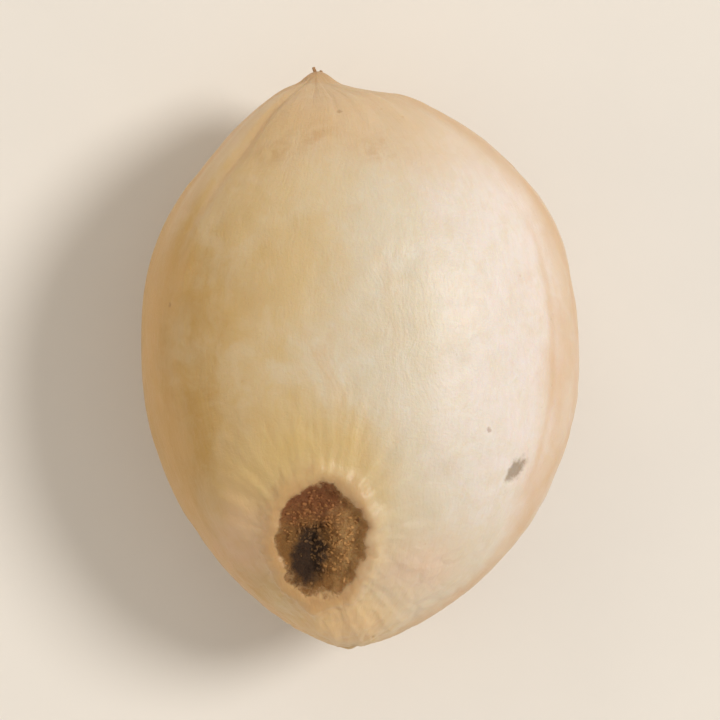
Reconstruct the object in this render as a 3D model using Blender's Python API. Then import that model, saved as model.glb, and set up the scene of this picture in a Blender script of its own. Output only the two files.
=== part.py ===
"""One threshed grain of white sorghum, lying on its germ side. Metres, +Z up.

The grain is a caryopsis: it grew as one body, so it is one object. Its long axis runs along Y,
with the style tip at +Y and the base at -Y. The hilum, the dark scar where the grain sat on
its plant, is near the base and faces up. The germ is on the other side and faces down. The
origin is the middle of the footprint, on the surface that the grain lies on.
"""

import math

import bmesh
import bpy

# Driving dimensions
LENGTH = 0.0050  # base to style tip
WIDTH = 0.0038
CROWN_RISE = 0.00145  # widest outline up to the top of the hilum side
BELLY_DROP = 0.00145  # widest outline down to the belly, before the rest face is taken off
REST_TRIM = 0.00007  # depth of belly that the flat rest face takes off

# How each half narrows towards its end, as (1 - |v| ** SHAPE) ** TAPER, with v from -1 to 1
BASE_SHAPE, BASE_TAPER = 2.0, 0.655
TIP_SHAPE, TIP_TAPER = 2.5, 0.73
CROWN_SHAPE, CROWN_TAPER = 2.2, 0.53
BELLY_BASE_SHAPE, BELLY_BASE_TAPER = 1.9, 0.66
BELLY_TIP_SHAPE, BELLY_TIP_TAPER = 2.4, 0.56
BELLY_PEAK = 0.08  # the deepest station of the belly, as a share of the half length towards the tip

# Cross-section: 2 is a plain ellipse, and more is squarer
CROWN_SQUARENESS = 2.1
BELLY_SQUARENESS = 2.4

# Both ends lean to the -X side, and the base end lifts where the germ side slants up
TIP_LEAN = 0.00037
BASE_LEAN = 0.00011
LEAN_POWER = 8
BASE_LIFT = 0.00016
LIFT_POWER = 2

# Beak: the tip stands a little out of the skin round it, most on the +X side
BEAK_HEIGHT = 0.000085
BEAK_TOP, BEAK_FOOT = 0.00002, 0.00025  # distances from the tip over which its side slopes
BEAK_FADE, BEAK_REACH = 0.0003, 0.0009  # distances over which the skin comes back to its outline
BEAK_SIDES = -0.00035, 0.00012  # from the tip along X: shallow to the left, full to the right
BEAK_SHALLOW = 0.25

# Hilum: an oval pit with a low raised rim
HILUM_X, HILUM_Y = -0.00033, -0.00153
HILUM_HALF_WIDTH = 0.00036
HILUM_HALF_LENGTH = 0.00046
HILUM_DEPTH = 0.00011
PIT_FLOOR, PIT_EDGE = 0.5, 1.15  # in hilum radii, as are the next two
RIM_RADIUS = 1.35
RIM_SPREAD = 0.3
RIM_HEIGHT = 0.00004

# Germ: a long oval dip in the belly, with the ridge of the young root and shoot along it
GERM_Y = -0.00118
GERM_HALF_WIDTH = 0.00082
GERM_HALF_LENGTH = 0.00112
GERM_DEPTH = 0.00016
GERM_EDGE = 0.5  # share of the germ's radius over which the dip deepens
GERM_RIDGE_HEIGHT = 0.00009
GERM_RIDGE_HALF_WIDTH = 0.00022
RIDGE_FADE, RIDGE_END = 0.4, 0.9  # in germ radii

FACING = 0.5  # sine of the turn above which a feature of one side has its full height

SKIN_COLOUR = (0.70, 0.52, 0.32, 1)
SKIN_ROUGHNESS = 0.42

RINGS = 44  # cross-sections from end to end
SEGMENTS = 56  # points around each cross-section


def narrowing(station, base, tip):
    """The share of the full size left at a station, from each half's (shape, taper)."""
    shape, taper = tip if station > 0 else base
    return (1 - min(1.0, abs(station)) ** shape) ** taper


def rounded(value, squareness):
    """A sine or cosine bent from an ellipse towards a rounded box, with its sign kept."""
    return math.copysign(abs(value) ** (2 / squareness), value)


def smooth(low, high, value):
    """0 below low, 1 above high, and an S curve between them."""
    share = min(1.0, max(0.0, (value - low) / (high - low)))
    return share * share * (3 - 2 * share)


def moved_peak(station, peak):
    """The station seen from a peak: 0 at the peak, and still -1 and 1 at the ends."""
    return (station - peak) / (1 - peak * station)


def hilum_height(x, y):
    """How far the hilum raises or sinks the crown at a point."""
    reach = math.hypot((x - HILUM_X) / HILUM_HALF_WIDTH, (y - HILUM_Y) / HILUM_HALF_LENGTH)
    pit = 1 - smooth(PIT_FLOOR, PIT_EDGE, reach)
    rim = math.exp(-(((reach - RIM_RADIUS) / RIM_SPREAD) ** 2))
    return RIM_HEIGHT * rim - HILUM_DEPTH * pit


def germ_height(x, y):
    """How far the germ raises the belly, which faces down, at a point."""
    reach = math.hypot(x / GERM_HALF_WIDTH, (y - GERM_Y) / GERM_HALF_LENGTH)
    dip = 1 - smooth(1 - GERM_EDGE, 1, reach)
    ridge = math.exp(-((x / GERM_RIDGE_HALF_WIDTH) ** 2))
    ridge *= 1 - smooth(RIDGE_FADE, RIDGE_END, reach)
    return GERM_DEPTH * dip - GERM_RIDGE_HEIGHT * ridge


def beak_drop(x, y, z):
    """How far the skin near the tip stands back towards the base, which leaves the beak."""
    tip = (-TIP_LEAN, LENGTH / 2, BELLY_DROP - REST_TRIM)
    away = math.dist((x, y, z), tip)
    ring = smooth(BEAK_TOP, BEAK_FOOT, away) * (1 - smooth(BEAK_FADE, BEAK_REACH, away))
    side = BEAK_SHALLOW + (1 - BEAK_SHALLOW) * smooth(*BEAK_SIDES, x - tip[0])
    return BEAK_HEIGHT * ring * side


def grain_point(station, turn):
    """The surface point at a station along the grain and a turn about its long axis."""
    across, up = math.cos(turn), math.sin(turn)
    lean = TIP_LEAN if station > 0 else BASE_LEAN
    half_width = WIDTH / 2 * narrowing(station, (BASE_SHAPE, BASE_TAPER), (TIP_SHAPE, TIP_TAPER))
    y = LENGTH / 2 * station
    lift = BASE_LIFT * abs(min(0.0, station)) ** LIFT_POWER
    outline = BELLY_DROP - REST_TRIM + lift
    if up >= 0:
        crown = (CROWN_SHAPE, CROWN_TAPER)
        x = half_width * rounded(across, CROWN_SQUARENESS)
        z = outline + CROWN_RISE * narrowing(station, crown, crown) * rounded(up, CROWN_SQUARENESS)
        z += hilum_height(x, y) * smooth(0, FACING, up)
    else:
        base = (BELLY_BASE_SHAPE, BELLY_BASE_TAPER)
        tip = (BELLY_TIP_SHAPE, BELLY_TIP_TAPER)
        depth = BELLY_DROP * narrowing(moved_peak(station, BELLY_PEAK), base, tip)
        x = half_width * rounded(across, BELLY_SQUARENESS)
        z = outline + depth * rounded(up, BELLY_SQUARENESS)
        z = max(0.0, z)  # the flat rest face
        z += germ_height(x, y) * smooth(0, FACING, -up)
    x -= lean * abs(station) ** LEAN_POWER
    return x, y - beak_drop(x, y, z), z


def grain_mesh():
    """Rings of points from the base to the tip, joined into one closed skin."""
    shape = bmesh.new()
    rings = []
    for ring in range(1, RINGS):
        station = math.sin(math.pi * (ring / RINGS - 0.5))
        turns = (math.tau * segment / SEGMENTS for segment in range(SEGMENTS))
        rings.append([shape.verts.new(grain_point(station, turn)) for turn in turns])
    base = shape.verts.new(grain_point(-1, 0))
    tip = shape.verts.new(grain_point(1, 0))
    for near, far in zip(rings, rings[1:]):
        for i in range(SEGMENTS):
            j = (i + 1) % SEGMENTS
            shape.faces.new((near[i], near[j], far[j], far[i]))
    for i in range(SEGMENTS):
        j = (i + 1) % SEGMENTS
        shape.faces.new((base, rings[0][j], rings[0][i]))
        shape.faces.new((tip, rings[-1][i], rings[-1][j]))
    bmesh.ops.recalc_face_normals(shape, faces=shape.faces)
    mesh = bpy.data.meshes.new("grain")
    shape.to_mesh(mesh)
    shape.free()
    mesh.shade_smooth()
    return mesh


def seed_coat():
    """The cream-white skin of the grain, smooth with a low waxy gloss."""
    material = bpy.data.materials.new("seed_coat")
    material.use_nodes = True
    skin = material.node_tree.nodes["Principled BSDF"]
    skin.inputs["Base Color"].default_value = SKIN_COLOUR
    skin.inputs["Roughness"].default_value = SKIN_ROUGHNESS
    skin.inputs["Metallic"].default_value = 0.0
    return material


def main():
    for old in list(bpy.data.objects):
        bpy.data.objects.remove(old)
    grain = bpy.data.objects.new("grain", grain_mesh())
    grain.data.materials.append(seed_coat())
    bpy.context.scene.collection.objects.link(grain)


main()
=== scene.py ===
# %% [markdown]
# # A grain of white sorghum
#
# This script dresses one threshed sorghum grain, 5 mm long. A plain solid of it is loaded first,
# and it gives every size and place. The script then grows the real surface: the swelling body
# with its folds and pores, the torn scar where the grain sat on its plant, and the withered
# stubs of the two styles at its tip. The grain lies on its germ side, and the camera looks down
# on it. Lengths inside the node trees are in millimetres, which suit a thing this small.

# %% Load the solid model
import math

import bpy
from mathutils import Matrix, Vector


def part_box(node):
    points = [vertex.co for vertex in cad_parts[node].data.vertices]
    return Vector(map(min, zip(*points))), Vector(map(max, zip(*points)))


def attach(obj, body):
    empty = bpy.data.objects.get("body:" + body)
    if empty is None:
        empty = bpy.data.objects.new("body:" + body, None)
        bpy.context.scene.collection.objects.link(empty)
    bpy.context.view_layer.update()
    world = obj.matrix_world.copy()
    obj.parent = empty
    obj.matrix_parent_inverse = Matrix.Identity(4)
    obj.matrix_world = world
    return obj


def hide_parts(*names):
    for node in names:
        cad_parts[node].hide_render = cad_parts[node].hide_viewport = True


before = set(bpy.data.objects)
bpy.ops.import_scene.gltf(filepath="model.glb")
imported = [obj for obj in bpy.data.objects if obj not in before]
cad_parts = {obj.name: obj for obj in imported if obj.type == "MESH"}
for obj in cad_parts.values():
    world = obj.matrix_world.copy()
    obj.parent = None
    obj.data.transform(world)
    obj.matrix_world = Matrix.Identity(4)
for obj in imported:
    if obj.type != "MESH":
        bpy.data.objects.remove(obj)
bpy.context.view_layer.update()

low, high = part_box("grain")
size = Vector(high) - Vector(low)
print("the solid grain is", [round(1000 * side, 2) for side in size], "mm")

# %% [markdown]
# ## Writing node trees as sums
#
# Most of this grain is arithmetic on points: how wide it is at a station, how deep the scar is
# at a distance from its middle. The nodes could be placed one by one, with every link written
# out, but a long tree is then hard to read. Geometry and shader trees share their Math, Noise
# and Map Range nodes, so one small class serves both. A `Field` is an output socket that can be
# added, multiplied and raised to a power, and each operator lays down one Math node.


# %% Fields
class Field:
    """An output socket that takes part in sums. Each operator adds one Math node to its tree."""

    def __init__(self, tree, socket):
        self.tree = tree
        self.socket = socket

    def __add__(self, other):
        return calculate("ADD", self, other)

    def __sub__(self, other):
        return calculate("SUBTRACT", self, other)

    def __rsub__(self, other):
        return calculate("SUBTRACT", other, self)

    def __mul__(self, other):
        return calculate("MULTIPLY", self, other)

    def __truediv__(self, other):
        return calculate("DIVIDE", self, other)

    def __pow__(self, other):
        return calculate("POWER", self, other)

    def __neg__(self):
        return calculate("MULTIPLY", self, -1.0)

    __radd__ = __add__
    __rmul__ = __mul__


# %% Nodes from fields
def connect(tree, value, socket):
    """Feeds a socket from a field, or sets it to a plain value."""
    if isinstance(value, Field):
        tree.links.new(value.socket, socket)
    else:
        socket.default_value = value


def node(tree, kind, inputs=None, **settings):
    """Adds a node with these settings and inputs."""
    made = tree.nodes.new(kind)
    for name, value in settings.items():
        setattr(made, name, value)
    for name, value in (inputs or {}).items():
        connect(tree, value, made.inputs[name])
    return made


def output_of(tree, kind, output, inputs=None, **settings):
    """Adds a node and gives back one of its outputs."""
    return Field(tree, node(tree, kind, inputs, **settings).outputs[output])


def in_use(sockets):
    """The sockets that show. Some nodes hide a set of them for each kind of data."""
    return [socket for socket in sockets if socket.enabled]


def tree_of(*values):
    """The tree of the first field among these values."""
    return next(value.tree for value in values if isinstance(value, Field))


def calculate(operation, *values):
    """One Math node."""
    inputs = dict(enumerate(values))
    return output_of(tree_of(*values), "ShaderNodeMath", 0, inputs, operation=operation)


def vector_sum(operation, *values, output="Vector"):
    """One Vector Math node. Its output can be a vector or a number."""
    inputs = dict(enumerate(values))
    return output_of(tree_of(*values), "ShaderNodeVectorMath", output, inputs, operation=operation)


def scaled(field, factor):
    """A vector field times a number."""
    inputs = {0: field, "Scale": factor}
    return output_of(field.tree, "ShaderNodeVectorMath", "Vector", inputs, operation="SCALE")


# %% [markdown]
# A few shapes of curve do nearly all the work. A smooth step fades a feature in, a bell makes a
# ridge, a groove or a stain, noise makes it uneven, and a blend chooses between two values.


# %% Steps, bells and blends
def smooth(start, end, value, low=0.0, high=1.0):
    """An S curve from low at start to high at end, level outside them."""
    made = node(value.tree, "ShaderNodeMapRange", interpolation_type="SMOOTHSTEP")
    names = ("Value", "From Min", "From Max", "To Min", "To Max")
    for name, given in zip(names, (value, start, end, low, high)):
        connect(value.tree, given, made.inputs[name])
    return Field(value.tree, made.outputs["Result"])


def bell(value):
    """1 where the value is 0, falling away on both sides."""
    return calculate("EXPONENT", -(value * value))


def blend(factor, first, second):
    """A number that goes from first to second as factor goes from 0 to 1."""
    inputs = {"Factor": factor, "A": first, "B": second}
    return output_of(tree_of(factor, first, second), "ShaderNodeMix", "Result", inputs)


def vector(tree, x, y, z):
    """A vector from three fields or numbers."""
    return output_of(tree, "ShaderNodeCombineXYZ", 0, {"X": x, "Y": y, "Z": z})


def parts(field):
    """The X, Y and Z of a vector field."""
    made = node(field.tree, "ShaderNodeSeparateXYZ", {0: field})
    return [Field(field.tree, output) for output in made.outputs]


def length(x, y):
    """The length of the slope of a right triangle."""
    return calculate("SQRT", x * x + y * y)


def spot(x, y, middle, reach, slant=0.0):
    """A soft patch, 1 at its middle. Reach is half its size each way, and slant turns it."""
    away_x, away_y = x - middle[0], y - middle[1]
    turned_x = away_x * math.cos(slant) + away_y * math.sin(slant)
    turned_y = away_y * math.cos(slant) - away_x * math.sin(slant)
    return bell(length(turned_x / reach[0], turned_y / reach[1]))


# %% Noise and cells
SEED_STEP = (13.7, 5.1, 9.3)  # how far apart two seeds read the same noise


def noise(place, scale, detail=2.0, roughness=0.5, seed=0, output="Fac"):
    """Noise from about 0 to 1. Another seed reads another part of it."""
    moved = vector_sum("ADD", place, tuple(seed * step for step in SEED_STEP))
    inputs = {"Vector": moved, "Scale": scale, "Detail": detail, "Roughness": roughness}
    return output_of(place.tree, "ShaderNodeTexNoise", output, inputs)


def drift(place, amount, scale, **settings):
    """A vector of noise that swings either side of 0, by up to half the amount."""
    centred = vector_sum("SUBTRACT", noise(place, scale, output="Color", **settings), (0.5,) * 3)
    return scaled(centred, amount)


def swing(place, scale, detail=2.0, roughness=0.5, seed=0):
    """Noise that swings either side of 0, to about -1 and 1."""
    return (noise(place, scale, detail, roughness, seed) - 0.5) * 2.0


def sparse_cells(place, per_mm, share):
    """Distance from the nearest cell's middle, 1 in the chosen cells, and a number for each."""
    cells = node(place.tree, "ShaderNodeTexVoronoi", {"Vector": place, "Scale": per_mm})
    cell_red, cell_green, _ = parts(Field(place.tree, cells.outputs["Color"]))
    chosen = calculate("LESS_THAN", cell_red, share)
    return Field(place.tree, cells.outputs["Distance"]), chosen, cell_green


# %% [markdown]
# A geometry tree gets its sizes through named inputs, so that anyone can change them on the
# modifier later. `grow` runs a tree on an empty object, keeps the mesh that comes out, and drops
# the object with its modifier. What is left is a plain mesh at the origin.


# %% Geometry trees
def geometry_tree(name, numbers, others=None):
    """A geometry tree with named inputs for its numbers, its Skin material and others."""
    tree = bpy.data.node_groups.new(name, "GeometryNodeTree")
    tree.is_modifier = True
    for label, value in numbers.items():
        socket = tree.interface.new_socket(label, in_out="INPUT", socket_type="NodeSocketFloat")
        socket.default_value = value
    for label, kind in {"Skin": "NodeSocketMaterial", **(others or {})}.items():
        tree.interface.new_socket(label, in_out="INPUT", socket_type=kind)
    tree.interface.new_socket("Geometry", in_out="OUTPUT", socket_type="NodeSocketGeometry")
    start = tree.nodes.new("NodeGroupInput")
    return tree, {output.name: Field(tree, output) for output in start.outputs if output.name}


def through(kind, geometry, inputs=None, **settings):
    """Passes geometry through one more node."""
    tree = geometry.tree
    made = node(tree, kind, inputs, **settings)
    tree.links.new(geometry.socket, made.inputs[0])
    return Field(tree, made.outputs[0])


def end_tree(geometry, skin):
    """Ends a tree: instances made real, shaded smooth, and given their material."""
    geometry = through("GeometryNodeRealizeInstances", geometry)
    geometry = through("GeometryNodeSetShadeSmooth", geometry)
    geometry = through("GeometryNodeSetMaterial", geometry, {"Material": skin})
    end = geometry.tree.nodes.new("NodeGroupOutput")
    geometry.tree.links.new(geometry.socket, end.inputs["Geometry"])


def add_object(name, data):
    """A new object in the scene."""
    made = bpy.data.objects.new(name, data)
    bpy.context.scene.collection.objects.link(made)
    return made


def grow(name, tree, **given):
    """Runs a geometry tree with these inputs and gives back a plain mesh object."""
    seedling = add_object(name, bpy.data.meshes.new(name))
    modifier = seedling.modifiers.new("growth", "NODES")
    modifier.node_group = tree
    for item in tree.interface.items_tree:
        if item.in_out == "INPUT" and item.name in given:
            modifier[item.identifier] = given[item.name]
    graph = bpy.context.evaluated_depsgraph_get()
    mesh = bpy.data.meshes.new_from_object(seedling.evaluated_get(graph), depsgraph=graph)
    bpy.data.objects.remove(seedling)
    print(name, "has", sum(len(face.vertices) - 2 for face in mesh.polygons), "triangles")
    return add_object(name, mesh)


# %% Reading, moving and keeping
MM = 0.001  # a millimetre, in metres


def position(tree):
    """Each point's place in millimetres."""
    return scaled(output_of(tree, "GeometryNodeInputPosition", 0), 1 / MM)


def shifted(geometry, offset):
    """Moves each point by an offset in millimetres."""
    return through("GeometryNodeSetPosition", geometry, {"Offset": scaled(offset, MM)})


def raised(geometry, height):
    """Moves each point out along its normal by a height in millimetres."""
    normal = output_of(geometry.tree, "GeometryNodeInputNormal", 0)
    return shifted(geometry, scaled(normal, height))


def keep(geometry, name, field, kind="FLOAT"):
    """Stores a field on the points under a name."""
    return through("GeometryNodeStoreNamedAttribute", geometry, {"Name": name, "Value": field},
                   data_type=kind, domain="POINT")


def kept(tree, name):
    """A stored field, read back by its name."""
    return output_of(tree, "GeometryNodeInputNamedAttribute", "Attribute", {"Name": name},
                     data_type="FLOAT")


# %% [markdown]
# ## The ball that the body starts from
#
# The body is one closed skin. A ball of rings would do, but its points crowd at the two ends,
# and the folds there would show it. A cube cut finely and blown up to a ball has no such poles.
# The tangent evens out the cuts, and the points are drawn in towards the scar, where the finest
# shapes are.

# %% Ball
CUTS = 128
SCAR_DIRECTION = (-0.175, -0.62, 0.765)
PULL = 0.5
PULL_REACH = 0.5
print("the ball has", 12 * CUTS * CUTS, "triangles")


def ball(tree):
    """The directions of the cut cube's points from its middle."""
    place = output_of(tree, "GeometryNodeInputPosition", 0)
    axes = [calculate("TANGENT", axis * (math.pi / 4)) for axis in parts(place)]
    even = vector_sum("NORMALIZE", vector(tree, *axes))
    to_scar = vector_sum("SUBTRACT", SCAR_DIRECTION, even)
    distance = vector_sum("LENGTH", to_scar, output="Value")
    pull = bell(distance / PULL_REACH) * PULL
    return vector_sum("NORMALIZE", vector_sum("ADD", even, scaled(to_scar, pull)))


# %% [markdown]
# ## The form of the body
#
# A sorghum grain is a stretched ball that narrows by a rule. A station runs from -1 at the base
# to 1 at the tip, and each half keeps (1 - |station| ^ shape) ^ taper of its full size. The
# crown, which carries the scar, swells evenly. The belly, which carries the germ, is squarer
# across and slants up towards the base. Both ends lean to one side, the tip more. A sculpted
# mesh could have this form too, but the rule keeps it true to the solid and easy to change.

# %% Proportions
WIDE, LONG = 500 * size.x, 500 * size.y  # half sizes in mm
TALL = 1000 * size.z
CROWN_RISE = 0.512 * TALL
REST_TRIM = 0.025 * TALL
BELLY_DROP = TALL - CROWN_RISE + REST_TRIM

BASE_END, TIP_END = (2.0, 0.655), (2.5, 0.73)  # shape and taper of each half's outline
CROWN_END = (2.2, 0.53)
BELLY_BASE_END, BELLY_TIP_END = (1.9, 0.66), (2.4, 0.56)
BELLY_PEAK = 0.08
CROWN_SQUARE, BELLY_SQUARE = 2.1, 2.4
BASE_LEAN, TIP_LEAN = 0.058 * WIDE, 0.195 * WIDE
LEAN_POWER = 8.0
BASE_LIFT = 0.056 * TALL
print("crown rises", round(CROWN_RISE, 2), "mm, belly drops", round(BELLY_DROP, 2), "mm")


# %% Narrowing and rounding
def narrowing(station, base_end, tip_end):
    """The share of the full size that is left at a station."""
    at_tip = calculate("GREATER_THAN", station, 0.0)
    shape = blend(at_tip, base_end[0], tip_end[0])
    taper = blend(at_tip, base_end[1], tip_end[1])
    return calculate("MAXIMUM", 1.0 - calculate("ABSOLUTE", station) ** shape, 0.0) ** taper


def rounded(value, square):
    """A sine or cosine bent from an ellipse towards a rounded box."""
    return calculate("SIGN", value) * calculate("ABSOLUTE", value) ** (2 / square)


def body_form(tree, given):
    """A point's place on the plain body in mm, with its station and its turn round the body."""
    x, station, z = parts(ball(tree))
    spoke = calculate("MAXIMUM", length(x, z), 1e-6)
    across, up = x / spoke, z / spoke
    on_crown = calculate("GREATER_THAN", up, 0.0)
    outline = given["Half width"] * narrowing(station, BASE_END, TIP_END)
    x = outline * blend(on_crown, rounded(across, BELLY_SQUARE), rounded(across, CROWN_SQUARE))
    crown = given["Crown rise"] * narrowing(station, CROWN_END, CROWN_END)
    moved = (station - BELLY_PEAK) / (1.0 - station * BELLY_PEAK)
    belly = given["Belly drop"] * narrowing(moved, BELLY_BASE_END, BELLY_TIP_END)
    z = blend(on_crown, belly * rounded(up, BELLY_SQUARE), crown * rounded(up, CROWN_SQUARE))
    lean = blend(calculate("GREATER_THAN", station, 0.0), BASE_LEAN, TIP_LEAN)
    lean = lean * calculate("ABSOLUTE", station) ** LEAN_POWER
    behind = calculate("MINIMUM", station, 0.0)
    lift = behind * behind * BASE_LIFT + given["Belly drop"] - REST_TRIM
    return vector(tree, x - lean, station * given["Half length"], z + lift), station, across, up


# %% [markdown]
# ## The scar
#
# The dark spot near the base is the hilum, where the grain broke off its stalk. A black layer
# sealed it as the grain ripened, so it is a shallow pit with a torn floor, deepest at one side,
# inside a raised lip. The skin shrank round it and is drawn into folds that run out like rays.
# A texture could only colour this, and low light would give it away, so it is cut in the mesh.
# Its reach is 0 at the middle and 1 at the edge, and ragged noise makes the edge uneven. The
# colours of the skin read the same reach, so pit and stain stay together.

# %% Scar
SCAR_X, SCAR_Y = -0.172 * WIDE, -0.612 * LONG
SCAR_WIDE, SCAR_LONG = 0.195 * WIDE, 0.188 * LONG
SCAR_FLOOR = 0.1  # a depth in mm, and so on down to RAGGED_BY
HOLLOW_DEPTH, STUMP_HEIGHT = 0.1, 0.035
TORN_HEIGHT, RIDGE_HEIGHT = 0.05, 0.045
LIP_HEIGHT, RAY_HEIGHT = 0.055, 0.04
RAGGED_BY = 0.22
PIT_EDGE = (0.82, 1.06)  # these are in half sizes of the scar
LIP_REACH, LIP_SPREAD = 1.2, 0.19
RAYS_START, RAYS_END = (1.0, 1.45), (1.9, 3.4)
HOLLOW, HOLLOW_SIZE, HOLLOW_SLANT = (-0.3, -0.28), (0.42, 0.62), -0.35
STUMP, STUMP_SIZE = (0.42, 0.1), (0.3, 0.45)
FACING = (0.1, 0.5)  # how far up the body's side a feature of one face fades in
FAR_AWAY = 9.0  # the reach of a point on the other face
print("the scar is", round(2 * SCAR_WIDE, 2), "by", round(2 * SCAR_LONG, 2), "mm")


def from_scar(place):
    """How far across and along a point is from the scar's middle, in half sizes of the scar."""
    x, y, _ = parts(place)
    return (x - SCAR_X) / SCAR_WIDE, (y - SCAR_Y) / SCAR_LONG


def scar_reach(place, up):
    """0 at the middle of the scar, 1 at its ragged edge, large on the germ side."""
    rag = drift(place, RAGGED_BY, 4.5, detail=4, roughness=0.62, seed=1)
    across, along = from_scar(vector_sum("ADD", place, rag))
    return blend(smooth(*FACING, up), FAR_AWAY, length(across, along))


def scar_relief(place, reach):
    """Height of the scar's pit, torn floor, lip and rays."""
    across, along = from_scar(place)
    pit = smooth(*PIT_EDGE, reach, 1.0, 0.0)
    hollow = spot(across, along, HOLLOW, HOLLOW_SIZE, HOLLOW_SLANT)
    stump = spot(across, along, STUMP, STUMP_SIZE)
    torn = swing(place, 11, detail=4, roughness=0.68, seed=2)
    ridged = calculate("ABSOLUTE", swing(place, 6, seed=3))
    floor = -SCAR_FLOOR - hollow * HOLLOW_DEPTH + stump * STUMP_HEIGHT
    floor = floor + torn * TORN_HEIGHT + ridged * RIDGE_HEIGHT
    lip = bell((reach - LIP_REACH) / LIP_SPREAD) * (0.5 + noise(place, 3.2, seed=4))
    turn = vector_sum("NORMALIZE", vector(place.tree, across, along, 0.0))
    rays_place = vector_sum("ADD", scaled(turn, 2.6), vector(place.tree, 0.0, 0.0, reach * 0.3))
    rays = swing(rays_place, 2.1, detail=3, roughness=0.55, seed=5)
    rays = rays * smooth(*RAYS_START, reach) * smooth(*RAYS_END, reach, 1.0, 0.0)
    return pit * floor + lip * LIP_HEIGHT + rays * RAY_HEIGHT


# %% [markdown]
# ## The germ
#
# The other face carries the germ, an oval hollow that takes up the lower half with a ridge
# along its middle. The skin over it is slack and lies in lengthwise folds. The grain rests on
# this face, so only its edge shows from the sides, but it is there to be turned over.

# %% Germ
GERM_Y = -0.472 * LONG
GERM_WIDE, GERM_LONG = 0.43 * WIDE, 0.448 * LONG
GERM_DEPTH, GERM_RIM, GERM_FOLDS = 0.14, 0.02, 0.028  # in mm, as is the next line
SPINE_HEIGHT, SPINE_HALF_WIDTH = 0.09, 0.2
print("the germ is", round(2 * GERM_WIDE, 2), "by", round(2 * GERM_LONG, 2), "mm")


def germ_reach(place, up):
    """0 at the middle of the germ, 1 at its edge, large on the crown."""
    x, y, _ = parts(place)
    wavy = x + swing(place, 1.1, seed=6) * 0.09
    return blend(smooth(*FACING, -up), FAR_AWAY, length(wavy / GERM_WIDE, (y - GERM_Y) / GERM_LONG))


def germ_relief(place, reach, up):
    """Height of the germ's hollow, ridge, rim and slack folds."""
    x, y, _ = parts(place)
    hollow = smooth(0.62, 1.02, reach, 1.0, 0.0)
    spine = bell((x + swing(place, 0.8, detail=1, seed=7) * 0.08) / SPINE_HALF_WIDTH)
    spine = spine * smooth(0.45, 0.92, reach, 1.0, 0.0)
    rim = bell((reach - 1.1) / 0.13)
    lengthwise = vector(place.tree, x * 6.0, y * 0.9, 0.0)
    folds = swing(lengthwise, 1, detail=3, roughness=0.55, seed=8)
    folds = folds * smooth(1.05, 1.5, reach, 1.0, 0.3) * smooth(*FACING, -up)
    height = rim * GERM_RIM - hollow * GERM_DEPTH + spine * SPINE_HEIGHT
    return height + folds * GERM_FOLDS


# %% [markdown]
# ## Folds at the two ends
#
# As the grain dried, the skin gathered where it is most curved. At the tip it is drawn up like a
# purse round the styles, and towards the base it lies in a net of short wrinkles. Noise that is
# stretched from end to end makes the gathers. A cell pattern makes the net, because wrinkles
# that meet leave small cushions between them.


# %% Gathers and net
TIP = (-TIP_LEAN, LONG, BELLY_DROP - REST_TRIM)
BEAK = 0.085  # how far the tip stands out of the skin round it, in mm
BEAK_SLOPE, BEAK_FADE = (0.02, 0.25), (0.9, 0.3)  # distances from the tip in mm
BEAK_SIDES, BEAK_SHALLOW = (-0.35, 0.12), 0.25  # shallow on the left, full on the right
TIP_GATHERS, BASE_GATHERS, NET_DEPTH = 0.038, 0.03, 0.017  # in mm
NET_PER_MM, NET_SPREAD = 3.6, 0.09  # the spread of a crease is a share of a cell
print("the tip is at", [round(number, 2) for number in TIP], "mm")


def from_tip(place):
    """How far a point is from the tip."""
    return vector_sum("LENGTH", vector_sum("SUBTRACT", place, TIP), output="Value")


def end_folds(place, station, across, up):
    """Height of the gathers at both ends and the net of wrinkles near the base."""
    tree = place.tree
    drawn = vector(tree, across * 2.0, up * 2.0, station * 1.1)
    gathers = swing(drawn, 2.4, detail=3, roughness=0.55, seed=9)
    at_tip = smooth(0.7, 0.96, station) * smooth(1.0, 0.985, station, 0.3, 1.0)
    at_base = smooth(-0.8, -0.95, station) * smooth(-0.996, -0.97, station)
    x, y, z = parts(place)
    around = smooth(*BEAK_SLOPE, from_tip(place)) * smooth(*BEAK_FADE, from_tip(place))
    around = around * smooth(*BEAK_SIDES, x - TIP[0], BEAK_SHALLOW, 1.0)
    skewed = vector(tree, x * 1.15 + y * 0.5, y * 1.5 - x * 0.7, z)
    slack = vector_sum("ADD", skewed, drift(place, 0.5, 2, seed=10))
    to_edge = output_of(tree, "ShaderNodeTexVoronoi", "Distance",
                        {"Vector": slack, "Scale": NET_PER_MM}, feature="DISTANCE_TO_EDGE")
    crease = bell(to_edge / NET_SPREAD)
    slackness = smooth(-0.42, -0.85, station) * smooth(0.35, 0.7, noise(place, 0.9, seed=11))
    gathered = gathers * (at_tip * TIP_GATHERS + at_base * BASE_GATHERS)
    return gathered - around * BEAK - crease * slackness * NET_DEPTH


# %% [markdown]
# ## The seam along the margin
#
# A husk held each side of the grain while it grew, and left a fine crease along the shoulder
# with a low swelling outside it. It is plainest beside the tip on one side and half way down the
# other. The crease follows the turn round the body, so it keeps its distance from the outline.


# %% Margin seam
SEAM_UP, SEAM_RISE, SEAM_WAVE = 0.5, 0.16, 0.06  # sines of the turn, as are the next two
CREASE_SPREAD = 0.045
SWELLING_BELOW, SWELLING_SPREAD = 0.17, 0.12


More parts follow.
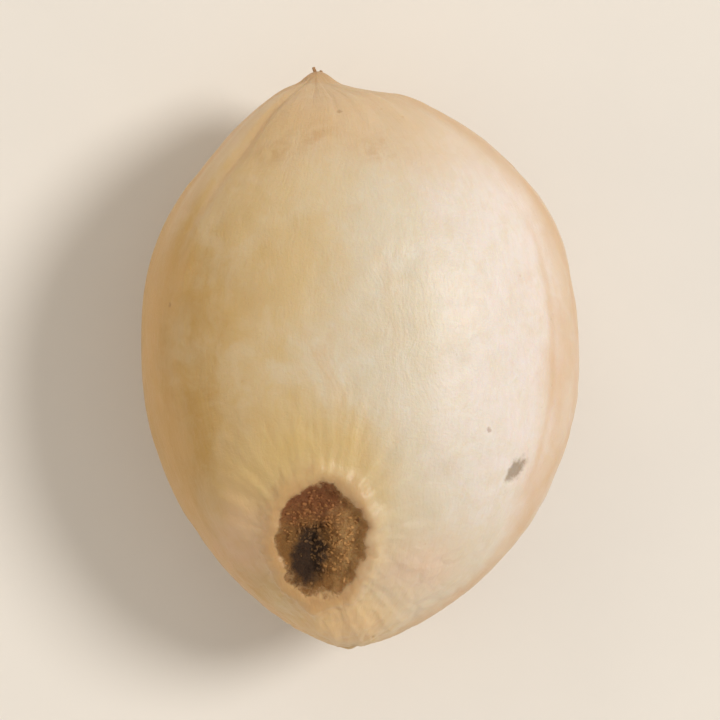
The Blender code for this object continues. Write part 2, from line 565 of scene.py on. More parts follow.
def seam_line(place, station, across, up):
    """1 in the crease, and -1 on the swelling outside it, where the husk's edge pressed."""
    rise = smooth(0.3, 0.8, station) * SEAM_RISE
    height = SEAM_UP + rise + swing(place, 0.8, seed=12) * SEAM_WAVE
    crease = bell((up - height) / CREASE_SPREAD)
    swelling = bell((up - height + SWELLING_BELOW) / SWELLING_SPREAD)
    by_tip = smooth(0.15, 0.65, station) * smooth(0.98, 0.85, station) * smooth(0.1, -0.3, across)
    by_side = smooth(-0.8, -0.1, station) * smooth(0.8, 0.2, station) * smooth(-0.1, 0.3, across)
    fade = 0.55 + noise(place, 1.6, seed=34) * 0.9
    return (crease - swelling) * (0.12 + by_tip + by_side * 0.7) * fade


# %% [markdown]
# ## Swellings, dimples and pores
#
# Between these landmarks the skin still isn't even. It swells over the starch, dimples where the
# flour has shrunk, and runs in faint ripples from end to end, with fine grit all over. Here and
# there is a pore. Noise of four sizes makes the first, and a sparse cell pattern makes the
# pores: about one cell in four has a pit at its middle. One larger scuff sits on the flank.

# %% Skin
PORES_PER_MM = 1.25
PORE_SHARE = 0.27
PORE_RADIUS, PORE_SPREAD = 0.014, 0.026  # the least radius in mm, and how much more it can be
SCUFF, SCUFF_SIZE, SCUFF_SLANT = (1.32, -0.94), (0.17, 0.065), 0.95
SWELLING_HEIGHT, DIMPLE_DEPTH = 0.036, 0.032  # heights and depths in mm
RIPPLE_HEIGHT, GRIT_HEIGHT = 0.003, 0.0022
SEAM_DEPTH, PORE_DEPTH, SCUFF_DEPTH = 0.016, 0.015, 0.02


def pores(place, edge=1.0, core=0.35):
    """1 in the core of each pore and 0 beyond its edge. Both are in radii of the pore."""
    x, y, z = parts(place)
    long_place = vector(place.tree, x, y * 0.7, z)
    distance, chosen, chance = sparse_cells(long_place, PORES_PER_MM, PORE_SHARE)
    away = distance / (PORE_RADIUS + chance * PORE_SPREAD)
    away = away + swing(place, 30, detail=3, roughness=0.65, seed=33) * 1.1
    return smooth(edge, core, away) * chosen


def scuff(place, up):
    """1 in the scuff on the flank."""
    x, y, _ = parts(place)
    patch = spot(x, y, SCUFF, SCUFF_SIZE, SCUFF_SLANT)
    patch = patch + swing(place, 10, detail=5, roughness=0.7, seed=13) * 0.8
    return smooth(0.3, 0.95, patch) * smooth(*FACING, up)


def skin_relief(place, station, across, up):
    """Height of the skin's swellings, dimples, ripples and grit."""
    swelling = swing(place, 0.7, detail=1, roughness=0.4, seed=14)
    dimples = calculate("MINIMUM", swing(place, 1.9, seed=15), 0.05)
    lengthwise = vector(place.tree, across * 9.0, up * 9.0, station * 1.5)
    ripples = swing(lengthwise, 1, detail=3, roughness=0.6, seed=16)
    grit = swing(place, 6, detail=3, roughness=0.55, seed=17)
    broad = swelling * SWELLING_HEIGHT + dimples * DIMPLE_DEPTH
    return broad + ripples * RIPPLE_HEIGHT + grit * GRIT_HEIGHT


# %% [markdown]
# ## The tree of the body
#
# The tree shapes the ball, adds all the heights, and moves each point out along its normal by
# their sum. Last it presses flat what would reach below the surface that the grain rests on. It
# keeps the features as named attributes, and the skin's colours read them.


# %% Body tree
def body_tree():
    """The whole body, from a cut cube."""
    tree, given = geometry_tree("grain_body_tree", {
        "Half width": WIDE, "Half length": LONG, "Crown rise": CROWN_RISE,
        "Belly drop": BELLY_DROP, "Relief": 1.0})
    points = {f"Vertices {axis}": CUTS + 1 for axis in "XYZ"}
    geometry = output_of(tree, "GeometryNodeMeshCube", "Mesh", {"Size": (2, 2, 2), **points})
    form, *turn = body_form(tree, given)
    for name, field in zip(("station", "across", "up"), turn):
        geometry = keep(geometry, name, field)
    geometry = through("GeometryNodeSetPosition", geometry, {"Position": scaled(form, MM)})
    geometry = raise_relief(geometry, given["Relief"])
    x, y, z = parts(output_of(tree, "GeometryNodeInputPosition", 0))
    rested = vector(tree, x, y, calculate("MAXIMUM", z, 0.0))
    geometry = through("GeometryNodeSetPosition", geometry, {"Position": rested})
    end_tree(geometry, given["Skin"])
    return tree


def raise_relief(geometry, amount):
    """Moves the skin out along its normals. Keeps the features and where each point was."""
    tree = geometry.tree
    place = position(tree)
    station, across, up = [kept(tree, name) for name in ("station", "across", "up")]
    to_scar, to_germ = scar_reach(place, up), germ_reach(place, up)
    seam = seam_line(place, station, across, up)
    skin = skin_relief(place, station, across, up) + end_folds(place, station, across, up)
    skin = skin - seam * SEAM_DEPTH - pores(place) * PORE_DEPTH - scuff(place, up) * SCUFF_DEPTH
    skin = skin * smooth(0.85, 1.3, to_scar)
    height = skin + scar_relief(place, to_scar) + germ_relief(place, to_germ, up)
    for name, field in {"to_scar": to_scar, "to_germ": to_germ, "seam": seam}.items():
        geometry = keep(geometry, name, field)
    geometry = keep(geometry, "plain_place", place, "FLOAT_VECTOR")
    return raised(geometry, height * amount)


# %% [markdown]
# ## Effects that several finishes share
#
# Clouds, rows of cells and specks turn up on the seed coat, on the torn scar and on the dry
# styles. Each is a shader group that is built once, with its own numbers where it is placed.


# %% Building and using a group
def effect(name, numbers):
    """A shader group that reads a place and some named numbers."""
    tree = bpy.data.node_groups.new(name, "ShaderNodeTree")
    tree.interface.new_socket("Place", in_out="INPUT", socket_type="NodeSocketVector")
    for label, value in numbers.items():
        socket = tree.interface.new_socket(label, in_out="INPUT", socket_type="NodeSocketFloat")
        socket.default_value = value
    tree.interface.new_socket("Mask", in_out="OUTPUT", socket_type="NodeSocketFloat")
    start = tree.nodes.new("NodeGroupInput")
    return [Field(tree, output) for output in start.outputs if output.name]


def end_effect(mask):
    """Sends a mask out of its group."""
    end = mask.tree.nodes.new("NodeGroupOutput")
    mask.tree.links.new(mask.socket, end.inputs["Mask"])
    print("shader group:", mask.tree.name)
    return mask.tree


def use(group, place, **numbers):
    """Places a group in a material with its own numbers."""
    made = node(place.tree, "ShaderNodeGroup", node_tree=group)
    for label, value in {"Place": place, **numbers}.items():
        connect(place.tree, value, made.inputs[label])
    return Field(place.tree, made.outputs["Mask"])


# %% Clouds, cell rows and specks
def clouds():
    """Billowing patches. A low edge makes them crisp."""
    place, per_mm, edge = effect("clouds", {"Scale": 1.0, "Edge": 0.15})
    pushed = noise(place, per_mm * 0.7, detail=1, seed=20, output="Color")
    drifted = vector_sum("ADD", place, scaled(pushed, 0.6))
    billow = noise(drifted, per_mm, detail=5, roughness=0.58, seed=21)
    return end_effect(smooth(0.5 - edge, 0.5 + edge, billow))


def cell_rows():
    """Long cells that lie end to end along Y."""
    place, per_mm, stretch = effect("cell_rows", {"Scale": 26.0, "Stretch": 9.0})
    x, y, z = parts(place)
    return end_effect(noise(vector(place.tree, x, y / stretch, z), per_mm, roughness=0.55, seed=22))


def specks():
    """Small ragged specks of many sizes, in a share of the cells of a sparse pattern."""
    place, per_mm, share = effect("specks", {"Scale": 6.0, "Share": 0.2})
    distance, chosen, chance = sparse_cells(place, per_mm, share)
    rag = noise(place, per_mm * 5.0, detail=3, roughness=0.65, seed=37) - 0.5
    ragged = distance / (chance * 0.12 + 0.06) + rag * 2.6
    return end_effect(smooth(1.1, 0.3, ragged) * chosen)


CLOUDS, CELL_ROWS, SPECKS = clouds(), cell_rows(), specks()


# %% Helpers for finishes
def new_finish(name):
    """A new material, with its tree, its shader and each point's place in millimetres."""
    material = bpy.data.materials.new(name)
    material.use_nodes = True
    tree = material.node_tree
    place = output_of(tree, "ShaderNodeTexCoord", "Object")
    return material, tree, tree.nodes["Principled BSDF"], scaled(place, 1 / MM)


def feature(tree, name, output="Fac"):
    """A feature of the body, read from its attribute."""
    return output_of(tree, "ShaderNodeAttribute", output, attribute_name=name)


def tint(factor, first, second):
    """A colour that goes from first to second as factor goes from 0 to 1."""
    tree = tree_of(factor, first, second)
    made = node(tree, "ShaderNodeMix", data_type="RGBA")
    share, *ends = in_use(made.inputs)
    connect(tree, factor, share)
    for value, socket in zip((first, second), ends):
        connect(tree, value if isinstance(value, Field) else (*value, 1.0), socket)
    return Field(tree, in_use(made.outputs)[0])


def layered(colour, *layers):
    """A colour with more laid over it in turn. Each layer is its share and its colour."""
    for share, over in layers:
        colour = tint(share, colour, over)
    return colour


def coat_with(tree, shader, inputs):
    """Sets a shader's inputs from fields or plain values."""
    for name, value in inputs.items():
        connect(tree, value, shader.inputs[name])


def bumped(height, depth):
    """A normal from a height, with the depth in metres."""
    inputs = {"Height": height, "Distance": depth}
    return output_of(height.tree, "ShaderNodeBump", "Normal", inputs)


# %% [markdown]
# ## The ground colour of the seed coat
#
# White sorghum isn't white. Floury starch shows through a thin, waxy skin, greyish cream over
# the crown. Across the grain it runs from nearly pearl on the right, which is painted light, to
# golden tan on the left, which is painted shade. Clouds of chalk drift through it, and faint
# streaks run from end to end. One colour ramp across the grain would look airbrushed, so clouds
# and streaks push its borders about.

# %% Ground colour
# The golden tan is painted shade on the left side, and the pearl is painted light on the right
# side.
GOLD_SHADE = (0.46, 0.265, 0.055)
CREAM = (0.60, 0.44, 0.22)
BISQUE = (0.63, 0.55, 0.415)
PEARL_LIGHT = (0.725, 0.65, 0.61)
CHALK = (0.68, 0.635, 0.545)
HONEY = (0.585, 0.35, 0.12)


def meridians(place):
    """A place whose lines of equal X and Z run from end to end of the grain, as its cells do."""
    tree = place.tree
    across, up = feature(tree, "across"), feature(tree, "up")
    sway = (noise(place, 1.3, seed=35) - 0.5) * 0.5
    return vector(tree, across * WIDE + sway, parts(place)[1], up * WIDE)


def ground_colour(place):
    """Its broad clouds, and the colour of the seed coat away from its marks, with painted shade on
    the left and painted light on the right.
    """
    x, y, _ = parts(place)
    line_x, line_y, line_z = parts(meridians(place))
    cloud = use(CLOUDS, place, Scale=0.8, Edge=0.3)
    fleece = use(CLOUDS, place, Scale=3.2, Edge=0.12)
    meal = use(CLOUDS, place, Scale=6.5, Edge=0.1)
    lines = vector(place.tree, line_x * 3.4, line_y * 0.7, line_z * 3.4)
    streak = noise(lines, 1, detail=3, roughness=0.6, seed=23)
    # Painted light and shade: golden tan to the left, where shade falls, and pearl to the right,
    # where the key light falls. The golden streaks are also kept to the shaded left.
    flank = x + (cloud - 0.5) * 0.6 + (streak - 0.5) * 0.7 + y * 0.1
    golden = smooth(0.56, 0.7, streak) * smooth(0.9, -0.3, x)
    return cloud, layered(
        tint(smooth(-1.75, -0.55, flank), GOLD_SHADE, CREAM),
        (smooth(-0.75, 0.35, flank), BISQUE),
        (smooth(0.35, 1.5, flank), PEARL_LIGHT),
        (cloud * fleece * smooth(-1.6, 0.6, x, 0.2, 0.5), CHALK),
        (meal * (0.04 + fleece * 0.12), CREAM),
        (golden * 0.3, HONEY))


# %% [markdown]
# ## Stains round the scar
#
# The skin is golden above the scar, where the black layer spread under it. It blushes pink on
# the folds beside it, where sap dried. A warm amber spot at the very base is a painted
# highlight. The torn floor goes from maroon at the top through umber to nearly black in the
# hollow, partly the dark seal and partly painted shade.

# %% Stains
STRAW = (0.60, 0.415, 0.155)
BLUSH = (0.70, 0.46, 0.34)
RUST = (0.45, 0.24, 0.085)
AMBER_HIGHLIGHT = (0.74, 0.48, 0.22)
UMBER = (0.30, 0.135, 0.03)
MAROON = (0.28, 0.095, 0.025)
ASH = (0.55, 0.30, 0.105)
NEAR_BLACK = (0.05, 0.019, 0.004)
BLUSH_LEFT, LEFT_SIZE = (-0.98, -1.52), (0.28, 0.36)
BLUSH_RIGHT, RIGHT_SIZE, RIGHT_SLANT = (0.52, -1.78), (0.36, 0.28), 0.5
# The spot of painted highlight at the base, below the scar.
BASE_HIGHLIGHT, BASE_HIGHLIGHT_SIZE = (-0.2, -2.25), (0.42, 0.24)
DARK_HOLLOW_SIZE = (0.5, 0.7)  # in half sizes of the scar


def scar_stain(place, colour, to_scar):
    """Adds the golden halo, the blush, a painted highlight at the base and the rusty edge round the
    scar.
    """
    across, along = from_scar(place)
    x, y, _ = parts(place)
    waver = noise(place, 2.2, detail=3, roughness=0.55, seed=24)
    halo = bell((to_scar - 1.75) / 0.75) * smooth(-0.9, 0.9, along) * smooth(2.6, 0.6, across)
    left = spot(x, y, BLUSH_LEFT, LEFT_SIZE)
    right = spot(x, y, BLUSH_RIGHT, RIGHT_SIZE, RIGHT_SLANT)
    # Painted highlight: a warm, bright amber spot at the base, below the scar.
    below = spot(x, y, BASE_HIGHLIGHT, BASE_HIGHLIGHT_SIZE)
    edge = smooth(1.5, 1.02, to_scar + (waver - 0.5) * 0.5)
    uneven = 0.45 + waver * 0.7
    return layered(colour, (halo * uneven, STRAW), ((left + right) * waver, BLUSH),
                   (below * uneven, AMBER_HIGHLIGHT), (edge * 0.7, RUST))


def scar_floor(place):
    """The torn tissue inside the scar, nearly black in the hollow, partly as painted shade."""
    across, along = from_scar(place)
    shred = noise(place, 9, detail=5, roughness=0.68, seed=25)
    colour = tint(smooth(0.0, 0.75, along + (shred - 0.5)), UMBER, MAROON)
    grey = smooth(0.1, 0.75, across + (shred - 0.5) * 1.2)
    colour = tint(grey * 0.8, colour, ASH)
    hollow = spot(across, along, HOLLOW, DARK_HOLLOW_SIZE, HOLLOW_SLANT)
    # Partly the dark seal and partly painted shade: nearly black where the hollow is deepest.
    dark_seal_and_shade = smooth(0.42, 0.66, hollow * 0.55 + shred * 0.5)
    return tint(dark_seal_and_shade, colour, NEAR_BLACK)


# %% [markdown]
# ## Margin, tip and marks
#
# The shoulder outside the seam is thin skin over horny starch, so it is a warmer, clearer cream,
# and it is also painted darker round the edge, most on the left, as painted shade. The lower
# sides are tan, partly their own colour and partly painted shade. The crease is painted darker
# as shade, and the swelling outside it paler as a painted highlight. Towards both ends the colour
# deepens to tan, with brown smudges where the styles rubbed. Pores and specks are brown, and the
# scuff is grey. The slack skin over the germ is darker and more yellow.

# %% Marks
APRICOT = (0.59, 0.385, 0.21)
TAN = (0.60, 0.39, 0.20)
BROWN = (0.27, 0.125, 0.04)
GREY = (0.27, 0.20, 0.13)
DRY = (0.42, 0.25, 0.12)
SMUDGES = ((-0.38, 1.92), (0.16, 1.8), (-0.72, 1.78))
SMUDGE_SIZE = (0.2, 0.13)


def margin_colour(place, colour, station, up):
    """Adds the warm margin and tan lower sides, partly painted shade, the tan ends, painted shade
    in the crease, a painted highlight on the swelling and the germ's darker skin.
    """
    to_germ = feature(place.tree, "to_germ")
    seam = feature(place.tree, "seam")
    cloud = use(CLOUDS, place, Scale=1.3, Edge=0.25)
    x, _, _ = parts(place)
    blot = use(CLOUDS, place, Scale=1.9, Edge=0.16)
    height = up + (cloud - 0.5) * 0.16 + (blot - 0.5) * 0.1
    # Painted shade, partly real: the shoulder round the edge is warmer thin skin, and it is painted
    # darker as shade, deepest on the left.
    shoulder_tint_and_shade = smooth(0.66, 0.34, height) * smooth(-0.5, 0.3, height, 0.2, 1.0)
    edge_warmth_and_shade = tint(smooth(-1.2, 0.6, x), HONEY, APRICOT)
    ends = smooth(0.5, 0.98, station + (cloud - 0.5) * 0.12)
    ends = ends + smooth(-0.8, -0.98, station) * 0.5
    return layered(
        colour,
        (shoulder_tint_and_shade * (0.6 + blot * 0.3), edge_warmth_and_shade),
        # Painted shade, partly real: tan deepens down the lower sides.
        (smooth(0.3, -0.2, up) * blot * 0.3, TAN),
        (ends * 0.7, TAN),
        (smooth(0.3, 0.05, from_tip(place)) * 0.55, RUST),
        (smooth(0.15, 0.9, seam) * 0.45, TAN),  # painted shade in the crease
        (smooth(-0.1, -1.0, seam) * 0.2, CHALK),  # painted highlight on the swelling outside it
        (smooth(1.2, 0.8, to_germ) * 0.6, HONEY),
        (bell((to_germ - 1.0) / 0.08) * 0.35, RUST))


def marks(place, colour, up):
    """Adds smudges at the tip, pores, specks and the scuff."""
    x, y, _ = parts(place)
    rubbed = smooth(0.36, 0.66, noise(place, 8, detail=5, roughness=0.62, seed=26))
    for middle in SMUDGES:
        smudge = spot(x, y, middle, SMUDGE_SIZE) * rubbed
        colour = tint(smudge * smooth(*FACING, up) * 0.42, colour, RUST)
    plain = feature(place.tree, "plain_place", "Vector")
    return layered(
        colour,
        (pores(plain, edge=2.4, core=0.6) * 0.35, TAN),
        (pores(plain, edge=0.9, core=0.2) * 0.8, BROWN),
        (use(SPECKS, place, Scale=5.5, Share=0.06) * 0.45, BROWN),
        (use(SPECKS, place, Scale=11.0, Share=0.08) * 0.25, RUST),
        (scuff(plain, up) * 0.8, GREY))


# %% [markdown]
# ## The seed coat
#
# The coat is a thin film of wax over the cells, so it has a broad, low gloss that the clouds
# break up, and no mirror shine. Rows of cells, a few hundredths of a millimetre wide, run from
# end to end. They are too fine for the mesh, so they are bump. Light goes a fraction of a
# millimetre into the starch before it comes back, redder than it went in, and softens shadows.

# %% Seed coat
CELL_DEPTH = 0.000012  # bump depths and light depth are in metres
STRAND_DEPTH, GROOVE_DEPTH = 0.000006, 0.000005
LIGHT_DEPTH, LIGHT_REACH = 0.0004, (1.0, 0.55, 0.25)  # red wanders furthest in the starch
LIGHT_SHARE = 0.3
COAT, COAT_ROUGHNESS = 0.12, 0.34


def seed_coat():
    """The finish of the body."""
    material, tree, shader, place = new_finish("seed_coat")
    station, up, to_scar = [feature(tree, name) for name in ("station", "up", "to_scar")]
    cloud, colour = ground_colour(place)
    colour = margin_colour(place, colour, station, up)
    colour = marks(place, colour, up)
    colour = scar_stain(place, colour, to_scar)
    torn_edge = to_scar + swing(place, 9, detail=5, roughness=0.65, seed=27) * 0.13
    inside = smooth(1.04, 0.95, torn_edge)
    dull = noise(place, 5, detail=4, roughness=0.6, seed=28)
    rows = use(CELL_ROWS, meridians(place), Scale=24.0, Stretch=4.0)
    colour = tint(smooth(0.35, 0.75, rows) * 0.1, colour, TAN)
    wax = noise(place, 38, detail=3, roughness=0.6, seed=29)
    crumbs = noise(place, 30, detail=4, roughness=0.7, seed=30) * inside
    height = rows * 0.4 + wax * 0.35 + crumbs * 5.0
    coat_with(tree, shader, {
        "Base Color": tint(inside, colour, scar_floor(place)),
        "Roughness": 0.34 + dull * 0.2 + cloud * 0.06 + inside * 0.3,
        "Normal": bumped(height, CELL_DEPTH),
        "Subsurface Weight": LIGHT_SHARE, "Subsurface Radius": LIGHT_REACH,
        "Subsurface Scale": LIGHT_DEPTH,
        "Coat Weight": COAT - inside * COAT, "Coat Roughness": COAT_ROUGHNESS})
    return material


# %% Grow the body
def dress(piece):
    """Fixes a piece to the grain, in place of the plain solid."""
    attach(piece, "root")
    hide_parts("grain")


body = grow("grain_body", body_tree(), Skin=seed_coat())
dress(body)

# %% [markdown]
# ## Torn fibres in the scar
#
# The stalk's bundle of vessels snapped when the grain was threshed, and its ends stand in the
# scar like a worn brush. Each is a short tapering shred with a slight bend. One shred is swept
# along a line and scattered over the scar's floor, closer towards the middle, each turned and
# sized at random from a fixed seed. Sculpting them one by one would take longer and look more
# regular.


# %% Scar fibres
def fibre_tree():
    """Shreds scattered over the floor of the scar."""
    tree, given = geometry_tree("scar_fibres_tree", {
        "Fibres per square mm": 330.0, "Fibre length": 0.036, "Fibre radius": 0.0085, "Lean": 1.8,
    }, {"Body": "NodeSocketObject"})
    points, normal = scattered(given["Body"], (0.9, 0.45), given["Fibres per square mm"], 5)
    instances = through("GeometryNodeInstanceOnPoints", points, {
        "Instance": shred(tree, given), "Rotation": fibre_turn(normal, given["Lean"]),
        "Scale": by_chance(tree, "FLOAT", 0.35, 1.25, 6)})
    end_tree(instances, given["Skin"])
    return tree


def scattered(body, thinning, per_square_mm, seed):
    """Points on the scar's floor and their normals. They thin out over a range of its reach."""
    tree = body.tree
    skin = output_of(tree, "GeometryNodeObjectInfo", "Geometry", {"Object": body})
    density = smooth(*thinning, kept(tree, "to_scar")) * per_square_mm * (1 / MM**2)
    scatter = node(tree, "GeometryNodeDistributePointsOnFaces",
                   {"Mesh": skin, "Seed": seed, "Density": density})
    return Field(tree, scatter.outputs["Points"]), Field(tree, scatter.outputs["Normal"])


def by_chance(tree, kind, least, most, seed):
    """A random number or vector for each point."""
    made = node(tree, "FunctionNodeRandomValue", {"Seed": seed}, data_type=kind)
    lower, upper, *_ = in_use(made.inputs)
    lower.default_value, upper.default_value = least, most
    return Field(tree, in_use(made.outputs)[0])


def fibre_turn(normal, lean):
    """Stands a fibre on the skin and leans it over by a random turn."""
    tree = normal.tree
    lean = scaled(by_chance(tree, "FLOAT_VECTOR", (-1, -1, -1), (1, 1, 1), 7), lean)
    axis = vector_sum("ADD", normal, lean)
    return output_of(tree, "FunctionNodeAlignRotationToVector", 0, {"Vector": axis}, axis="Z")


def shred(tree, given):
    """One fibre: a bent line with a radius that tapers, swept into a closed tube."""
    line, along = straight_line(vector(tree, 0.0, 0.0, given["Fibre length"]), 7)
    bend = vector(tree, calculate("SINE", along * 3.0) * 0.005, along * along * 0.008, 0.0)
    return swept(shifted(line, bend), given["Fibre radius"] * (1.0 - along * 0.55), 6)


def straight_line(end, points):
    """A line from the origin to an end in mm, and the share of the way along it."""
    tree = end.tree
    line = output_of(tree, "GeometryNodeCurvePrimitiveLine", 0, {"End": scaled(end, MM)})
    line = through("GeometryNodeResampleCurve", line, {"Count": points})
    return line, output_of(tree, "GeometryNodeSplineParameter", "Factor")


def swept(line, radius, sides):
    """A closed tube along a line, with its own radius in mm at each point."""
    tree = line.tree
    ring = output_of(tree, "GeometryNodeCurvePrimitiveCircle", "Curve",
                     {"Resolution": sides, "Radius": MM})
    return output_of(tree, "GeometryNodeCurveToMesh", "Mesh", {
        "Curve": line, "Profile Curve": ring, "Scale": radius, "Fill Caps": True})


# %% Scar tissue
def scar_tissue():
    """Dry, corky tissue, umber with pale broken ends."""
    material, tree, shader, place = new_finish("scar_tissue")
    mottle = use(CLOUDS, place, Scale=9.0, Edge=0.2)
    colour = tint(mottle * 0.28, scar_floor(place), ASH)
    colour = tint(use(SPECKS, place, Scale=12.0, Share=0.2) * 0.3, colour, RUST)
    strands = use(CELL_ROWS, place, Scale=70.0, Stretch=3.0)
    coat_with(tree, shader, {"Base Color": colour, "Normal": bumped(strands, STRAND_DEPTH),
                             "Roughness": 0.6 + mottle * 0.25})
    return material


tissue = scar_tissue()
fibres = grow("scar_fibres", fibre_tree(), Skin=tissue, Body=body)
dress(fibres)

# %% [markdown]
# ## Crumbs of cork
#
# Between the fibres the seal has broken into crumbs. They are small balls set on the scar at
# random, and noise dents them after they are made real, so no two are alike.


# %% Scar crumbs
def crumb_tree():
    """Dented crumbs scattered over the scar."""
    tree, given = geometry_tree("scar_crumbs_tree", {
        "Crumbs per square mm": 520.0, "Crumb radius": 0.018, "Dents": 0.01,
    }, {"Body": "NodeSocketObject"})
    points, normal = scattered(given["Body"], (0.98, 0.6), given["Crumbs per square mm"], 8)
    crumb = output_of(tree, "GeometryNodeMeshIcoSphere", 0,
                      {"Radius": given["Crumb radius"] * MM, "Subdivisions": 2})
    sizes = by_chance(tree, "FLOAT_VECTOR", (0.3, 0.3, 0.2), (1.3, 1.1, 0.8), 9)
    geometry = through("GeometryNodeInstanceOnPoints", points, {
        "Instance": crumb, "Scale": sizes, "Rotation": fibre_turn(normal, 0.6)})
    geometry = through("GeometryNodeRealizeInstances", geometry)
    dents = swing(position(tree), 30, detail=3, roughness=0.6, seed=36)
    end_tree(raised(geometry, dents * given["Dents"]), given["Skin"])
    return tree


crumbs = grow("scar_crumbs", crumb_tree(), Skin=tissue, Body=body)
dress(crumbs)

# %% [markdown]
# ## The withered styles
#
# Two styles caught the pollen, dried up and broke short, and they leave a pair of dark stubs in
# the gathered skin at the tip. Each stub is a crooked line swept into a tube that swells at the
# foot and ends ragged, built by the same kind of tree as the fibres.

# %% Styles
STUBS = ((-0.016, 0.01, 1.0), (0.018, -0.008, 0.7))  # sideways and up from the tip, and length
SUNK = 0.05  # how deep each stub's foot is in the skin, in mm
STUB_RAG = 0.009


def style_tree():
    """Two crooked stubs at the tip of the grain."""
    tree, given = geometry_tree("style_stubs_tree", {"Stub length": 0.09, "Stub radius": 0.022})
    gather = tree.nodes.new("GeometryNodeJoinGeometry")
    for number, (aside, above, share) in enumerate(STUBS):
        stub = style_stub(tree, given, number, share)
        foot = vector(tree, TIP[0] + aside, TIP[1] - SUNK, TIP[2] + above)
        placed = through("GeometryNodeTransform", stub, {"Translation": scaled(foot, MM)})
        tree.links.new(placed.socket, gather.inputs[0])
    end_tree(Field(tree, gather.outputs[0]), given["Skin"])
    return tree


def style_stub(tree, given, number, share):
    """One stub along +Y, crooked and ragged in its own way."""
    line, along = straight_line(vector(tree, 0.0, given["Stub length"] * share, 0.0), 22)
    side = 1.0 if number else -1.0
    crook = vector(tree, along * along * 0.016 * side, 0.0, calculate("SINE", along * 4.0) * 0.008)
    stub = swept(shifted(line, crook), given["Stub radius"] * (0.62 + bell(along / 0.4) * 0.5), 20)
    x, y, z = parts(position(tree))
    rag = swing(vector(tree, x, y * 0.35, z), 38, detail=3, roughness=0.6, seed=31 + number)
    return raised(stub, rag * STUB_RAG)


# %% Withered style
def withered_style():
    """Dry brown tissue with dark grooves."""
    material, tree, shader, place = new_finish("withered_style")
    mottle = use(CLOUDS, place, Scale=12.0, Edge=0.25)
    colour = tint(mottle, BROWN, DRY)
    colour = tint(use(SPECKS, place, Scale=20.0, Share=0.3) * 0.6, colour, NEAR_BLACK)
    grooves = use(CELL_ROWS, place, Scale=80.0, Stretch=6.0)
    coat_with(tree, shader, {"Base Color": colour, "Normal": bumped(grooves, GROOVE_DEPTH),
                             "Roughness": 0.55 + mottle * 0.2})
    return material


styles = grow("style_stubs", style_tree(), Skin=withered_style())
dress(styles)

# %% [markdown]
# ## The stage
#
# The grain lies on plain, pale card that curves up all round into a shallow bowl, so that a
# low camera sees no edge behind it. The light is soft: a key lamp above on the right, a wide warm
# fill from the left, a weak lamp beyond the tip, and an even glow from all round.

# %% Card
CARD_FLAT, CARD_CURVE = 0.09, 0.07
CARD_STEPS, CARD_SIDES = 24, 96
CARD_TONES = (0.77, 0.73, 0.675), (0.79, 0.75, 0.695)


def card_profile(step):
    """The card's radius and height at a step out from its middle."""
    angle = (math.pi / 2) * max(0.0, step - 1) / (CARD_STEPS - 1)
    if step == 0:
        return 0.0, 0.0
    return CARD_FLAT + CARD_CURVE * math.sin(angle), CARD_CURVE * (1 - math.cos(angle))


def pale_card():
    """The card under and around the grain."""
    points = [(0.0, 0.0, 0.0)]
    for step in range(1, CARD_STEPS + 1):
        radius, height = card_profile(step)
        for side in range(CARD_SIDES):
            turn = 2 * math.pi * side / CARD_SIDES
            points.append((radius * math.cos(turn), radius * math.sin(turn), height))
    faces = [(0, 1 + side, 1 + (side + 1) % CARD_SIDES) for side in range(CARD_SIDES)]
    for step in range(1, CARD_STEPS):
        inner, outer = 1 + (step - 1) * CARD_SIDES, 1 + step * CARD_SIDES
        for side in range(CARD_SIDES):
            after = (side + 1) % CARD_SIDES
            faces.append((inner + side, outer + side, outer + after, inner + after))
    mesh = bpy.data.meshes.new("card")
    mesh.from_pydata(points, [], faces)
    mesh.shade_smooth()
    return add_object("card", mesh)


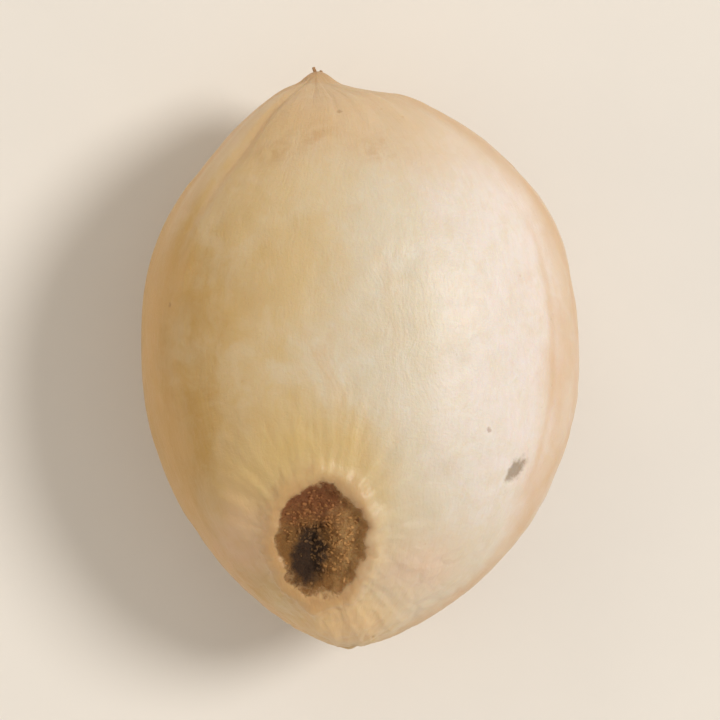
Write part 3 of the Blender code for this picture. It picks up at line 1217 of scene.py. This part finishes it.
def card_paper():
    """Smooth, matt, warm white card."""
    material, tree, shader, place = new_finish("card_paper")
    mottle = use(CLOUDS, place, Scale=0.6, Edge=0.4)
    coat_with(tree, shader, {"Base Color": tint(mottle, *CARD_TONES), "Roughness": 0.9})
    return material


card = pale_card()
card.data.materials.append(card_paper())
print("the card is", 2 * (CARD_FLAT + CARD_CURVE), "m across")


# %% Lamps
LAMP_DISTANCE = 0.3
LAMPS = {  # direction, width in metres, power in watts and colour
    "key": ((0.58, 0.16, 0.77), 0.09, 0.56, (1.0, 0.97, 0.93)),
    "fill": ((-0.8, -0.1, 0.45), 0.22, 0.13, (1.0, 0.80, 0.55)),
    "back": ((-0.3, 0.8, 0.45), 0.16, 0.10, (1.0, 0.93, 0.82)),
}
GLOW, GLOW_STRENGTH = (1.0, 0.97, 0.92, 1.0), 0.47


def soft_lamp(name, direction, width, power, colour):
    """A round lamp that points at the grain and stays out of sight."""
    lamp = bpy.data.lights.new(name, "AREA")
    lamp.shape = "DISK"
    lamp.size = width
    lamp.energy = power
    lamp.color = colour
    holder = add_object(name, lamp)
    away = Vector(direction).normalized()
    holder.location = away * LAMP_DISTANCE
    holder.rotation_euler = away.to_track_quat("Z", "Y").to_euler()
    holder.visible_camera = False
    print(name, "lamp at", [round(number, 2) for number in holder.location])


for name, settings in LAMPS.items():
    soft_lamp(name, *settings)

world = bpy.data.worlds.new("studio")
bpy.context.scene.world = world
world.use_nodes = True
glow = world.node_tree.nodes["Background"]
glow.inputs["Color"].default_value = GLOW
glow.inputs["Strength"].default_value = GLOW_STRENGTH

# %% [markdown]
# ## The camera
#
# The camera looks straight down, as on a heap of grain on a table. A long lens keeps the shape
# free of perspective. The plain view transform keeps the pale colours as they were mixed.

# %% Camera
FRAME_SHARE = 0.8  # how much of the picture's height the grain fills
LENS, SENSOR = 300.0, 36.0

camera = add_object("camera", bpy.data.cameras.new("camera"))
camera.data.lens = LENS
camera.data.sensor_width = SENSOR
camera.data.clip_start = 0.001
distance = size.y / FRAME_SHARE * LENS / SENSOR
camera.location = (0, 0, size.z / 2 + distance)
bpy.context.scene.camera = camera
bpy.context.scene.view_settings.view_transform = "Standard"
print("the camera is", round(1000 * distance), "mm above the grain")
